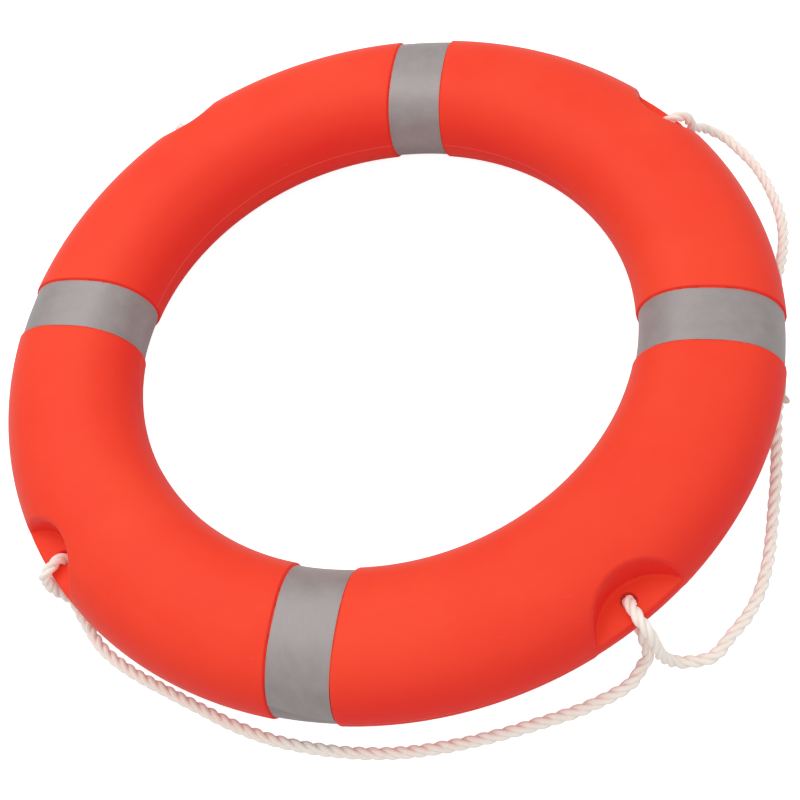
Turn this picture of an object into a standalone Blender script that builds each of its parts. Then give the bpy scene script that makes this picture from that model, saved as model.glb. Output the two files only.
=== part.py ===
"""Ring lifebuoy: a hollow moulded ring shell filled with rigid foam, four
retroreflective bands, and a grab line rove through four rim holes.

Frame: metres, +Z up. The ring's axis is the Z axis, the ground it lies on is
z = 0, the bands sit on the +X, +Y, -X and -Y axes and the rope pockets on the
diagonals between them. Right is +X and back is +Y.
"""
import math
from typing import NamedTuple

import bmesh
import bpy
import numpy as np

# ---------------------------------------------------------------- ring
OUTER_DIAMETER = 0.710       # over the shell
SECTION_HALF_WIDTH = 0.0626  # radial half width of the ring's section
SECTION_HALF_HEIGHT = 0.0475
EXP_RADIAL = 2.497           # superellipse exponents of the section
EXP_VERTICAL = 1.922
LAND_START = math.radians(83.0)  # section parameter where the flat lands begin
WALL = 0.0032                # shell wall
GAP = 0.0003                 # clearance between neighbouring pieces

MID_Z = SECTION_HALF_HEIGHT
CENTRE_RADIUS = OUTER_DIAMETER / 2 - SECTION_HALF_WIDTH
INNER_RADIUS = CENTRE_RADIUS - SECTION_HALF_WIDTH

OUTSIDE_SECTION_STEPS = 6    # steps per quarter of the section
INSIDE_SECTION_STEPS = 4
OUTSIDE_RING_STEPS = 16      # steps round the ring between two bands
INSIDE_RING_STEPS = 8
PLAIN_ARC = math.radians(72.0)                # the evenly stepped arc between bands
PLAIN_START = (math.pi / 2 - PLAIN_ARC) / 2   # its start, from a band's axis

# ---------------------------------------------------------------- bands
BAND_WIDTH = 0.0508          # retroreflective tape
BAND_THICKNESS = 0.0006
BAND_RECESS = 0.0027         # depth of the moulded recess the tape sits in
RECESS_HALF_WIDTH = 0.0275   # flat floor of the recess
RECESS_RAMP = 0.0030         # sloping shoulder beside it
BANDS = ("band_right", "band_back", "band_left", "band_front")

# ---------------------------------------------------------------- rope pockets
POCKET_RADIUS = 0.0475       # a round bite out of both faces
POCKET_CENTRE = 0.3725       # its axis, from the ring's axis
WEB_HALF = 0.0080            # half thickness of the web left between two bites
HOLE_CENTRE = 0.3380         # rope hole in the web
HOLE_RADIUS = 0.0070
POCKET_SIDES = 32
HOLE_SIDES = 16

# Heights where the cutters end, clear of what they cut
CUTTER_TOP = 0.12
BITE_BOTTOM = -0.025
RELIEF_BOTTOM = -0.02
HOLE_CUT_BOTTOM, HOLE_CUT_TOP = 0.02, 0.08

# ---------------------------------------------------------------- filling ports
# Holes in the inner wall: cutter tag, plug name, angle round the ring, radius
PORTS = (
    ("fill", "filler_plug", math.radians(-66.0), 0.0120),
    ("vent", "vent_plug", math.radians(-56.0), 0.0050),
)
PORT_SIDES = 20
PORT_CUT_INWARD = 0.010      # reach of the port cutter each way from the inner wall
PORT_CUT_OUTWARD = 0.0065
# Plug: distance outward from the inner wall, share of the plug's radius
PLUG_PROFILE = ((-0.0002, 0.45), (-0.0004, 0.9), (0.0002, 1.0), (0.0020, 1.0))

# ---------------------------------------------------------------- grab line
ROPE_RADIUS = 0.0050
ROPE_REST_Z = 0.0062         # height of its centre line along the ground
LOW = ROPE_REST_Z - MID_Z    # the same, from mid height
LINE_SIDES = 8
TURN_SPACING = 0.0045        # distance between points along each piece
SPAN_SPACING = 0.012
SLEEVE_SPACING = 0.007
CURVE_STEPS = 24             # fine steps between two control points
GROUND_POINTS = 15           # control points along the ground in each span
NOSE_ANGLES = [math.radians(angle) for angle in (30.0, 58.0, 80.0)]

PULL_BACK_LOWER = 0.0064     # how far a fixed turn stops short of each hinge
PULL_BACK_UPPER = 0.0078

# A span's radius eases to its middle value between these shares of its quarter
EASE_FROM = 0.07             # start of the first ease
EASE_TO = 0.95               # end of the last ease
EASE_LENGTH = 0.36

SLEEVE_BORE = 0.0054         # radii of the sleeve where the line's two ends meet
SLEEVE_RADIUS = 0.0065
SLEEVE_LIP = 0.0003          # its wall at both mouths
SLEEVE_FROM_Y = -0.0285      # the stretch of the line it covers
SLEEVE_TO_Y = 0.0110
SLEEVE_LIFT = 0.0010         # extra height of the line at the sleeve
LIFT_CENTRE = 0.485          # where the lift peaks and how far it spreads,
LIFT_SPREAD = 0.10           # as shares of the span's quarter


def mirrored(points):
    return tuple((radius, -aside, height) for radius, aside, height in points)


# The turn round each web: the line's upper part, from the hole out over the
# web, and its lower part, from the hole out under it. The last point but one of
# each is the hinge of the span there; the last one only steers the turn.
# Columns: radius along the pocket's diagonal, distance aside counterclockwise,
# height from mid height.
PLAIN_UPPER = (
    (0.3390, 0.0006, 0.0080), (0.3440, 0.0034, 0.0140), (0.3515, 0.0062, 0.0155),
    (0.3584, 0.0074, 0.0125), (0.3616, 0.0075, 0.0068), (0.3626, 0.0073, 0.0000),
    (0.3648, 0.0077, -0.0110),
)
PLAIN_LOWER = (
    (0.3390, -0.0004, -0.0084), (0.3440, -0.0022, -0.0142), (0.3520, -0.0048, -0.0143),
    (0.3604, -0.0068, -0.0138), (0.3658, -0.0082, -0.0208),
)
# Front right: slack, and its upper part lies across its lower part
CROSSING_UPPER = (
    (0.3390, -0.0006, 0.0080), (0.3440, -0.0030, 0.0141), (0.3512, -0.0052, 0.0157),
    (0.3585, -0.0060, 0.0135), (0.3642, -0.0060, 0.0070), (0.3674, -0.0056, -0.0015),
    (0.3688, -0.0045, -0.0110),
)
CROSSED_LOWER = (
    (0.3390, -0.0006, -0.0084), (0.3440, -0.0024, -0.0142), (0.3520, -0.0056, -0.0147),
    (0.3585, -0.0085, -0.0180), (0.3632, -0.0112, -0.0232), (0.3668, -0.0140, -0.0300),
)
# Back right: slack
SLACK_UPPER = (
    (0.3390, -0.0006, 0.0080), (0.3440, -0.0034, 0.0146), (0.3505, -0.0064, 0.0162),
    (0.3572, -0.0083, 0.0134), (0.3630, -0.0092, 0.0062), (0.3664, -0.0092, -0.0020),
    (0.3690, -0.0084, -0.0110),
)


class Turn(NamedTuple):
    corner: str
    diagonal: float      # the pocket's angle round the ring
    leaving: tuple       # part that runs to the span starting here
    arriving: tuple      # part that runs to the span ending here
    upper_leaves: bool   # whether the leaving part is the upper one


TURNS = (
    Turn("front_right", math.radians(-45), CROSSING_UPPER, CROSSED_LOWER, True),
    Turn("back_right", math.radians(45), mirrored(PLAIN_LOWER), SLACK_UPPER, False),
    Turn("back_left", math.radians(135), PLAIN_UPPER, PLAIN_LOWER, True),
    Turn("front_left", math.radians(225), PLAIN_UPPER, PLAIN_LOWER, True),
)


class Span(NamedTuple):
    """A free length of line. Shares run from 0 to 1 over its quarter circle."""
    name: str
    out_start: float     # radius from the ring's axis at start, middle and end
    out_middle: float
    out_end: float
    low_from: float      # the shares between which it lies low
    low_to: float
    down: tuple          # points by the first pocket, columns as for the turns
    up: tuple            # points by the next pocket
    sways: tuple = ()    # gentle sways: amount outward, share where, spread
    sleeved: bool = False


PLAIN_DOWN = ((0.3656, 0.0088, -0.0210), (0.3640, 0.0115, -0.0325))

# Each span runs from the turn at the same place in TURNS to the next one.
SPANS = (
    Span("right", 0.3995, 0.3538, 0.4020, 0.047, 0.968,
         down=((0.3716, -0.0026, -0.0205), (0.3760, -0.0012, -0.0310),
               (0.3825, 0.0036, -0.0395), (0.3890, 0.0115, LOW)),
         up=((0.3930, -0.0090, -0.0335), (0.3818, -0.0068, -0.0235),
             (0.3745, -0.0080, -0.0185)),
         sways=((0.0024, 0.30, 0.08), (0.0058, 0.77, 0.15)),
         sleeved=True),
    Span("top", 0.3790, 0.3648, 0.3700, 0.055, 0.945,
         down=((0.3655, 0.0130, -0.0350),),
         up=((0.3690, -0.0135, -0.0335),)),
    Span("left", 0.3640, 0.3557, 0.3600, 0.055, 0.945,
         down=PLAIN_DOWN,
         up=((0.3655, -0.0130, -0.0350),)),
    Span("bottom", 0.3662, 0.3646, 0.3762, 0.055, 0.945,
         down=PLAIN_DOWN,
         up=((0.3705, -0.0190, -0.0372),),
         sways=((-0.0072, 0.28, 0.12), (0.0022, 0.61, 0.07), (-0.0026, 0.80, 0.07))),
)


# ---------------------------------------------------------------- scene tools
def clear_scene():
    for obj in list(bpy.data.objects):
        bpy.data.objects.remove(obj, do_unlink=True)


def material(name, colour, roughness, metallic=0.0):
    mat = bpy.data.materials.new(name)
    mat.use_nodes = True
    shader = mat.node_tree.nodes["Principled BSDF"]
    shader.inputs["Base Color"].default_value = (*colour, 1.0)
    shader.inputs["Roughness"].default_value = roughness
    shader.inputs["Metallic"].default_value = metallic
    mat.diffuse_color = (*colour, 1.0)
    return mat


def outward_mesh(name, verts, faces):
    """A mesh with all its face normals turned outward."""
    mesh = bpy.data.meshes.new(name)
    mesh.from_pydata(verts, [], faces)
    bm = bmesh.new()
    bm.from_mesh(mesh)
    bmesh.ops.recalc_face_normals(bm, faces=bm.faces)
    bm.to_mesh(mesh)
    bm.free()
    return mesh


def add_object(name, data, location=(0.0, 0.0, 0.0)):
    obj = bpy.data.objects.new(name, data)
    obj.location = location
    bpy.context.collection.objects.link(obj)
    return obj


def add_piece(name, verts, faces, mat):
    mesh = outward_mesh(name, [tuple(vert) for vert in verts], faces)
    mesh.shade_smooth()
    mesh.set_sharp_from_angle(angle=math.radians(35))
    mesh.materials.append(mat)
    return add_object(name, mesh)


def add_hinged_piece(name, verts, faces, mat, hinge):
    """A piece whose origin is its hinge, from world-space points."""
    pivot = np.asarray(hinge.location)
    obj = add_piece(name, [np.asarray(vert) - pivot for vert in verts], faces, mat)
    obj.parent = hinge


def add_cutter(name, mesh, location=(0.0, 0.0, 0.0)):
    """An object that only cuts."""
    obj = add_object(name, mesh, location)
    obj.display_type = "WIRE"
    obj.hide_render = True
    return obj


def cylinder_cutter(name, centre, radius, low, high, sides):
    bm = bmesh.new()
    bmesh.ops.create_cone(bm, cap_ends=True, segments=sides, radius1=radius,
                          radius2=radius, depth=high - low)
    mesh = bpy.data.meshes.new(name)
    bm.to_mesh(mesh)
    bm.free()
    return add_cutter(name, mesh, (*centre, (low + high) / 2))


def cut(obj, cutter):
    mod = obj.modifiers.new(cutter.name, "BOOLEAN")
    mod.operation = "DIFFERENCE"
    mod.solver = "EXACT"
    mod.object = cutter


# ---------------------------------------------------------------- mesh faces
def torus_faces(rows, columns):
    """Faces of a grid that closes on itself both ways."""
    faces = []
    for i in range(rows):
        row, next_row = i * columns, (i + 1) % rows * columns
        for j in range(columns):
            k = (j + 1) % columns
            faces.append((row + j, next_row + j, next_row + k, row + k))
    return faces


def wall_faces(rings, sides, first=0):
    """Side faces between successive rings of vertices."""
    faces = []
    for i in range(rings - 1):
        ring = first + i * sides
        for k in range(sides):
            a, b = ring + k, ring + (k + 1) % sides
            faces.append((a, b, b + sides, a + sides))
    return faces


# ---------------------------------------------------------------- ring surface
def signed_power(value, exponent):
    return math.copysign(abs(value) ** exponent, value)


def section(parameter, inset):
    """Offset from the section's centre, moved inward by inset."""
    cosine, sine = math.cos(parameter), math.sin(parameter)
    x = SECTION_HALF_WIDTH * signed_power(cosine, 2 / EXP_RADIAL)
    if abs(sine) >= math.sin(LAND_START) - 1e-9:
        # the narrow flat land on the top and the bottom, which it rests on
        return x, math.copysign(SECTION_HALF_HEIGHT - inset, sine)
    z = SECTION_HALF_HEIGHT * signed_power(sine, 2 / EXP_VERTICAL)
    normal_x = (signed_power(x / SECTION_HALF_WIDTH, EXP_RADIAL - 1)
                * EXP_RADIAL / SECTION_HALF_WIDTH)
    normal_z = (signed_power(z / SECTION_HALF_HEIGHT, EXP_VERTICAL - 1)
                * EXP_VERTICAL / SECTION_HALF_HEIGHT)
    size = math.hypot(normal_x, normal_z)
    return x - inset * normal_x / size, z - inset * normal_z / size


def section_parameters(steps):
    """Parameters round the section: even steps on each side of the two lands."""
    quarter = [LAND_START * i / steps for i in range(steps + 1)]
    upper = quarter + [math.pi - value for value in reversed(quarter)]
    return upper + [-value for value in reversed(upper[1:-1])]


def ring_stations(plain_steps):
    """Stations round the ring: angle, offset from the band's centre plane or
    None, share of the band recess's depth there."""
    recess_edge = RECESS_HALF_WIDTH + RECESS_RAMP
    stations = []
    for quarter in range(4):
        base = math.pi / 2 * quarter
        for offset in (-RECESS_HALF_WIDTH, 0.0, RECESS_HALF_WIDTH):
            stations.append((base, offset, 1.0))
        stations.append((base, recess_edge, 0.0))
        for i in range(plain_steps + 1):
            angle = base + PLAIN_START + PLAIN_ARC * i / plain_steps
            stations.append((angle, None, 0.0))
        stations.append((base + math.pi / 2, -recess_edge, 0.0))
    return stations


def ring_point(station, parameter, inset):
    angle, offset, depth = station
    x, z = section(parameter, inset + depth * BAND_RECESS)
    radius = CENTRE_RADIUS + x
    if offset is not None:
        angle += math.asin(offset / radius)
    return (*polar(radius, angle), MID_Z + z)


def ring_mesh(section_steps, plain_steps, inset):
    parameters = section_parameters(section_steps)
    stations = ring_stations(plain_steps)
    verts = [ring_point(station, parameter, inset)
             for station in stations for parameter in parameters]
    return verts, torus_faces(len(stations), len(parameters))


def polar(radius, angle):
    return radius * math.cos(angle), radius * math.sin(angle)


def radial_plug_mesh(angle, profile):
    """A turned solid on a radial axis at mid height; profile is (distance from
    the ring's axis, solid's radius) pairs going outward."""
    cosine, sine = math.cos(angle), math.sin(angle)
    verts = []
    for distance, radius in profile:
        for k in range(PORT_SIDES):
            aside, height = polar(radius, 2 * math.pi * k / PORT_SIDES)
            verts.append((distance * cosine - aside * sine,
                          distance * sine + aside * cosine, MID_Z + height))
    faces = wall_faces(len(profile), PORT_SIDES)
    faces.append(tuple(range(PORT_SIDES)))
    faces.append(tuple(range(len(verts) - PORT_SIDES, len(verts))))
    return verts, faces


# ---------------------------------------------------------------- rope curves
def blend(point_a, time_a, point_b, time_b, time):
    """The point at this time on the straight run from point_a to point_b."""
    return ((time_b - time) / (time_b - time_a) * point_a
            + (time - time_a) / (time_b - time_a) * point_b)


def smooth_path(controls, spacing, start=0.0, end=0.0):
    """Even points along a centripetal Catmull-Rom curve. The first and the last
    control only steer it; the curve runs from the second to the last but one,
    less the two lengths left off at its ends."""
    dense = []
    for i in range(1, len(controls) - 2):
        p0, p1, p2, p3 = controls[i - 1:i + 3]
        t0 = 0.0
        t1 = t0 + math.sqrt(np.linalg.norm(p1 - p0))
        t2 = t1 + math.sqrt(np.linalg.norm(p2 - p1))
        t3 = t2 + math.sqrt(np.linalg.norm(p3 - p2))
        for k in range(CURVE_STEPS):
            time = t1 + (t2 - t1) * k / CURVE_STEPS
            first = blend(p0, t0, p1, t1, time)
            middle = blend(p1, t1, p2, t2, time)
            last = blend(p2, t2, p3, t3, time)
            before = blend(first, t0, middle, t2, time)
            after = blend(middle, t1, last, t3, time)
            dense.append(blend(before, t1, after, t2, time))
    dense.append(controls[-2])
    dense = np.array(dense)
    steps = np.linalg.norm(np.diff(dense, axis=0), axis=1)
    run = np.concatenate([[0], np.cumsum(steps)])
    count = max(2, int(round((run[-1] - start - end) / spacing)))
    places = np.linspace(start, run[-1] - end, count + 1)
    return np.stack([np.interp(places, run, dense[:, axis]) for axis in range(3)], axis=1)


def rounded(path, radius):
    """Add a round nose to both ends of a path: more points and their radii."""
    path = list(path)
    head = (path[0] - path[1]) / np.linalg.norm(path[0] - path[1])
    tail = (path[-1] - path[-2]) / np.linalg.norm(path[-1] - path[-2])
    before = [path[0] + head * radius * math.sin(angle) for angle in reversed(NOSE_ANGLES)]
    after = [path[-1] + tail * radius * math.sin(angle) for angle in NOSE_ANGLES]
    noses = [radius * math.cos(angle) for angle in NOSE_ANGLES]
    return before + path + after, noses[::-1] + [radius] * len(path) + noses


def tube(path, radii, sides, bore=None):
    """A round tube along a path, with one radius per point. With a bore it is a
    sleeve, open right through."""
    path = np.asarray(path)
    tangents = np.gradient(path, axis=0)
    tangents /= np.linalg.norm(tangents, axis=1)[:, None]
    side = np.cross(tangents[0], (0, 0, 1.0))
    if np.linalg.norm(side) < 0.2:
        # the path starts nearly upright, so measure from the radial direction
        side = np.cross(tangents[0], (path[0][0], path[0][1], 0.0))
    side /= np.linalg.norm(side)
    layers = [radii]
    if bore:
        layers.append([bore] * len(path))
    layer_verts = [[] for _ in layers]
    for i, (point, tangent) in enumerate(zip(path, tangents)):
        # carry the side direction along without twist
        side = side - tangent * np.dot(side, tangent)
        side /= np.linalg.norm(side)
        other = np.cross(tangent, side)
        for layer, verts in zip(layers, layer_verts):
            for k in range(sides):
                along_side, along_other = polar(1.0, 2 * math.pi * (k + 0.5) / sides)
                verts.append(point + layer[i] * (along_side * side + along_other * other))

    layer_size = len(path) * sides
    faces = []
    for i in range(len(layers)):
        faces += wall_faces(len(path), sides, first=i * layer_size)
    for end in (range(sides), range(layer_size - sides, layer_size)):
        if bore:
            for k in range(sides):
                a, b = end[k], end[(k + 1) % sides]
                faces.append((a, b, b + layer_size, a + layer_size))
        else:
            faces.append(tuple(end))
    return [vert for verts in layer_verts for vert in verts], faces


# ---------------------------------------------------------------- rope paths
def pocket_point(turn, point):
    """World place of a (radius, aside, height from mid height) point."""
    radius, aside, height = point
    cosine, sine = math.cos(turn.diagonal), math.sin(turn.diagonal)
    return np.array([radius * cosine - aside * sine, radius * sine + aside * cosine,
                     MID_Z + height])


def turn_path(turn):
    """Controls of the turn round the web, from the span that starts here, through
    the hole, to the span that ends here."""
    points = turn.leaving[::-1] + ((HOLE_CENTRE, 0.0, 0.0),) + turn.arriving
    return [pocket_point(turn, point) for point in points]


def ease(share):
    """Cosine ease from 1 at share 0 to 0 at share 1."""
    return (1 + math.cos(math.pi * min(max(share, 0.0), 1.0))) / 2


def ground_radius(span, share):
    """How far from the ring's axis a span lies."""
    radius = (span.out_middle
              + (span.out_start - span.out_middle) * ease((share - EASE_FROM) / EASE_LENGTH)
              + (span.out_end - span.out_middle) * ease((EASE_TO - share) / EASE_LENGTH))
    return radius + sum(amount * math.exp(-((share - where) / spread) ** 2)
                        for amount, where, spread in span.sways)


def span_path(span, turn, next_turn):
    """Controls of one free length, from hinge to hinge. The first and the last
    point only steer the curve into the fixed turns."""
    points = [pocket_point(turn, point) for point in turn.leaving[-3:] + span.down]
    for i in range(GROUND_POINTS):
        share = span.low_from + (span.low_to - span.low_from) * i / (GROUND_POINTS - 1)
        z = ROPE_REST_Z
        if span.sleeved:
            z += SLEEVE_LIFT * math.exp(-((share - LIFT_CENTRE) / LIFT_SPREAD) ** 2)
        angle = turn.diagonal + share * math.pi / 2
        points.append(np.array([*polar(ground_radius(span, share), angle), z]))
    last = span.up + next_turn.arriving[-3:][::-1]
    return points + [pocket_point(next_turn, point) for point in last]


# ---------------------------------------------------------------- pieces
def cut_pocket_clearance(obj, tag, margin):
    """Cut upright cylinders, a margin larger than the pockets, right through."""
    for i, turn in enumerate(TURNS):
        cut(obj, cylinder_cutter(f"{tag}_{i}", polar(POCKET_CENTRE, turn.diagonal),
                                 POCKET_RADIUS + margin, RELIEF_BOTTOM, CUTTER_TOP,
                                 POCKET_SIDES))


def build_shell():
    """The ring, bitten by the pockets, with the cavity and ports taken out."""
    orange = material("shell_orange", colour=(0.95, 0.055, 0.030), roughness=0.38)
    shell = add_piece("shell", *ring_mesh(OUTSIDE_SECTION_STEPS, OUTSIDE_RING_STEPS, 0.0),
                      orange)

    cavity_mesh = outward_mesh("cavity_cutter",
                               *ring_mesh(INSIDE_SECTION_STEPS, INSIDE_RING_STEPS, WALL))
    cavity = add_cutter("cavity_cutter", cavity_mesh)
    cut_pocket_clearance(cavity, "pocket_wall", WALL)

    for i, turn in enumerate(TURNS):
        pocket = polar(POCKET_CENTRE, turn.diagonal)
        hole = polar(HOLE_CENTRE, turn.diagonal)
        cut(shell, cylinder_cutter(f"pocket_top_{i}", pocket, POCKET_RADIUS,
                                   MID_Z + WEB_HALF, CUTTER_TOP, POCKET_SIDES))
        cut(shell, cylinder_cutter(f"pocket_bottom_{i}", pocket, POCKET_RADIUS,
                                   BITE_BOTTOM, MID_Z - WEB_HALF, POCKET_SIDES))
        cut(shell, cylinder_cutter(f"rope_hole_{i}", hole, HOLE_RADIUS,
                                   HOLE_CUT_BOTTOM, HOLE_CUT_TOP, HOLE_SIDES))
    cut(shell, cavity)

    for tag, _, angle, radius in PORTS:
        profile = ((INNER_RADIUS - PORT_CUT_INWARD, radius),
                   (INNER_RADIUS + PORT_CUT_OUTWARD, radius))
        name = f"{tag}_cutter"
        mesh = outward_mesh(name, *radial_plug_mesh(angle, profile))
        cut(shell, add_cutter(name, mesh))


def build_foam():
    """The cavity's own shape, one clearance smaller."""
    cream = material("foam_core", colour=(0.83, 0.72, 0.42), roughness=0.90)
    inset = WALL + GAP
    foam = add_piece("foam_core", *ring_mesh(INSIDE_SECTION_STEPS, INSIDE_RING_STEPS, inset),
                     cream)
    cut_pocket_clearance(foam, "foam_relief", inset)


def build_plugs():
    """Plugs nearly flush with the inner wall, stopping short of the foam."""
    orange = material("plug_orange", colour=(0.80, 0.045, 0.028), roughness=0.45)
    for _, name, angle, port_radius in PORTS:
        profile = [(INNER_RADIUS + outward, share * (port_radius - GAP))
                   for outward, share in PLUG_PROFILE]
        add_piece(name, *radial_plug_mesh(angle, profile), orange)


def build_bands():
    """Closed wraps lying in the moulded recesses."""
    silver = material("retroreflective_silver", colour=(0.38, 0.35, 0.34),
                      roughness=0.45, metallic=0.15)
    underside = BAND_RECESS - GAP
    offsets = (-BAND_WIDTH / 2, 0.0, BAND_WIDTH / 2)
    rows = [(offset, underside - BAND_THICKNESS) for offset in offsets]
    rows += [(offset, underside) for offset in reversed(offsets)]
    parameters = section_parameters(OUTSIDE_SECTION_STEPS)
    faces = torus_faces(len(rows), len(parameters))
    for i, name in enumerate(BANDS):
        verts = [ring_point((math.pi / 2 * i, offset, 0.0), parameter, inset)
                 for offset, inset in rows for parameter in parameters]
        add_piece(name, verts, faces, silver)


def build_turn(turn, mat):
    """The fixed turn of the line at one pocket."""
    if turn.upper_leaves:
        pull_backs = PULL_BACK_UPPER, PULL_BACK_LOWER
    else:
        pull_backs = PULL_BACK_LOWER, PULL_BACK_UPPER
    path = smooth_path(turn_path(turn), TURN_SPACING, *pull_backs)
    add_piece(f"grab_line_turn_{turn.corner}",
              *tube(path, [ROPE_RADIUS] * len(path), LINE_SIDES), mat)


def build_span(span, turn, next_turn, mat):
    """A swinging length of line between two turns, on its hinge."""
    pivot = (pocket_point(turn, turn.leaving[-2])
             + pocket_point(next_turn, next_turn.arriving[-2])) / 2
    hinge = add_object(f"hinge_{span.name}", None, pivot)
    controls = span_path(span, turn, next_turn)
    path, radii = rounded(smooth_path(controls, SPAN_SPACING), ROPE_RADIUS)
    add_hinged_piece(f"grab_line_span_{span.name}", *tube(path, radii, LINE_SIDES),
                     mat, hinge)
    if span.sleeved:
        build_sleeve(controls, hinge)


def build_sleeve(controls, hinge):
    """The sleeve that covers the place where the line's two ends meet."""
    taupe = material("sleeve_taupe", colour=(0.24, 0.17, 0.14), roughness=0.60)
    path = [point for point in smooth_path(controls, SLEEVE_SPACING)
            if SLEEVE_FROM_Y < point[1] < SLEEVE_TO_Y]
    mouth = SLEEVE_BORE + SLEEVE_LIP
    radii = [mouth] + [SLEEVE_RADIUS] * (len(path) - 2) + [mouth]
    add_hinged_piece("grab_line_sleeve",
                     *tube(path, radii, 2 * LINE_SIDES, bore=SLEEVE_BORE), taupe, hinge)


def build_grab_line():
    white = material("grab_line_white", colour=(0.86, 0.80, 0.76), roughness=0.75)
    for turn in TURNS:
        build_turn(turn, white)
    for span, turn, next_turn in zip(SPANS, TURNS, TURNS[1:] + TURNS[:1]):
        build_span(span, turn, next_turn, white)


clear_scene()
build_shell()
build_foam()
build_plugs()
build_bands()
build_grab_line()
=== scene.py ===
"""Looks of a ring lifebuoy: moulded shell, four retroreflective tapes and a three
strand laid grab line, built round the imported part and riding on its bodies.

Metres, +Z up. The ring lies flat on the floor (z = 0) with its axis on the z axis;
+x is right and +y is back. Four pockets, on the diagonals, each leave a thin web with
a hole through it, and the line turns round that web."""
import math
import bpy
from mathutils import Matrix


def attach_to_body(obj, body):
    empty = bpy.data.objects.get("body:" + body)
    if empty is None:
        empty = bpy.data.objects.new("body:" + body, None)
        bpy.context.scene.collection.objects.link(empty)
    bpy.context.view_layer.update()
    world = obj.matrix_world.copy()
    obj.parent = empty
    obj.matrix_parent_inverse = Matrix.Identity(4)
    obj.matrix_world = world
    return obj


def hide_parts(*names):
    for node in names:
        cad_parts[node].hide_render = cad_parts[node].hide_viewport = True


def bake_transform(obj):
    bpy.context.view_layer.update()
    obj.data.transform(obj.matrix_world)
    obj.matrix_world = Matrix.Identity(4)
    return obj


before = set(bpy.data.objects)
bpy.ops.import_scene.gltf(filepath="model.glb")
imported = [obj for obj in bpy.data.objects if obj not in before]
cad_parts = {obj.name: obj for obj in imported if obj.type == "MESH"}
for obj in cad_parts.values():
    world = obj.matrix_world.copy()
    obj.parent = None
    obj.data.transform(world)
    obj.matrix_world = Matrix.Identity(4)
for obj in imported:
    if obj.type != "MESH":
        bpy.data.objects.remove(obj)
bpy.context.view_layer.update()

from types import SimpleNamespace

import bmesh
import bpy
import numpy as np
from mathutils import Matrix, Vector

# ---------------------------------------------------------------- dimensions
# ring: a superellipse section swept round the z axis
OUTER_R = 0.355
HALF_W, HALF_H = 0.0626, 0.0475        # section half width and half height
POWER_W, POWER_H = 2.497, 1.922        # superellipse powers across and up
MID_Z = HALF_H
CENTRE_R = OUTER_R - HALF_W
# tape recess: depth, half width of its floor, width of its wall
RECESS, FLAT, RAMP = 0.0027, 0.0260, 0.0024
# pockets: radius, distance out from the axis, half thickness of the web left
POCKET_R, POCKET_C, WEB = 0.0475, 0.3725, 0.0080
HOLE_R, HOLE_C = 0.0064, 0.3380
POCKET_XY = POCKET_C / math.sqrt(2)    # x and y of a centre on the diagonal
HOLE_XY = HOLE_C / math.sqrt(2)
WEB_ROUND, POCKET_ROUND, HOLE_ROUND = 0.0022, 0.0027, 0.0016

# sampling grid of the shell
CELL = 0.0022                          # spacing in z
GRID_BOTTOM, GRID_HEIGHT, GRID_REACH = -0.004, 0.103, 0.362
WIDE_STEP = 0.0024
# (from, to, spacing) in |x| and |y|: beside the tapes, and across the pockets
CLOSE_STEPS = ((0.0240, 0.0298, 0.0007), (0.190, 0.310, 0.0017))
THINNED_TO = 0.48                      # share of the faces kept


# ---------------------------------------------------------------- shared helpers
def set_material(mesh, mat):
    mesh.materials.clear()
    mesh.materials.append(mat)


def add_object(name, mesh, mat):
    set_material(mesh, mat)
    obj = bpy.data.objects.new(name, mesh)
    bpy.context.scene.collection.objects.link(obj)
    return obj


def attach(obj, body, replaces=None):
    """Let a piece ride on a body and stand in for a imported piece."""
    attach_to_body(obj, body)
    if replaces:
        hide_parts(replaces)


def mesh_from(name, verts, faces):
    """A mesh from arrays whose faces all have the same number of sides."""
    mesh = bpy.data.meshes.new(name)
    verts = np.asarray(verts, np.float32)
    faces = np.asarray(faces, np.int32)
    sides = faces.shape[1]
    mesh.vertices.add(len(verts))
    mesh.vertices.foreach_set("co", verts.ravel())
    mesh.loops.add(faces.size)
    mesh.loops.foreach_set("vertex_index", faces.ravel())
    mesh.polygons.add(len(faces))
    mesh.polygons.foreach_set("loop_start", np.arange(0, faces.size, sides, dtype=np.int32))
    mesh.update(calc_edges=True)
    mesh.validate()
    return mesh


def mixed_mesh(name, verts, faces):
    """A mesh whose faces may differ in their number of sides."""
    mesh = bpy.data.meshes.new(name)
    mesh.from_pydata([tuple(v) for v in verts.tolist()], [], faces)
    return mesh


def closed_tube(name, rows):
    """A smooth mesh through closed rows of points, capped at both ends."""
    count, sides = len(rows), len(rows[0])
    faces = [(i * sides + j, i * sides + (j + 1) % sides,
              (i + 1) * sides + (j + 1) % sides, (i + 1) * sides + j)
             for i in range(count - 1) for j in range(sides)]
    caps = [tuple(range(sides))[::-1], tuple(range((count - 1) * sides, count * sides))]
    mesh = mixed_mesh(name, np.concatenate(rows), faces + caps)
    body = bmesh.new()
    body.from_mesh(mesh)
    bmesh.ops.recalc_face_normals(body, faces=body.faces)
    body.to_mesh(mesh)
    body.free()
    mesh.shade_smooth()
    return mesh


def set_normals(mesh, normals):
    mesh.shade_smooth()
    mesh.normals_split_custom_set_from_vertices([tuple(n) for n in normals])


def loop_vertices(mesh):
    loops = np.empty(len(mesh.loops), np.int32)
    mesh.loops.foreach_get("vertex_index", loops)
    return loops


def add_uv(mesh, name, uvs):
    layer = mesh.uv_layers.new(name=name)
    layer.data.foreach_set("uv", uvs.astype(np.float32).ravel())


def add_values(mesh, name, values):
    data = mesh.attributes.new(name, "FLOAT", "POINT")
    data.data.foreach_set("value", values.astype(np.float32))


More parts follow.
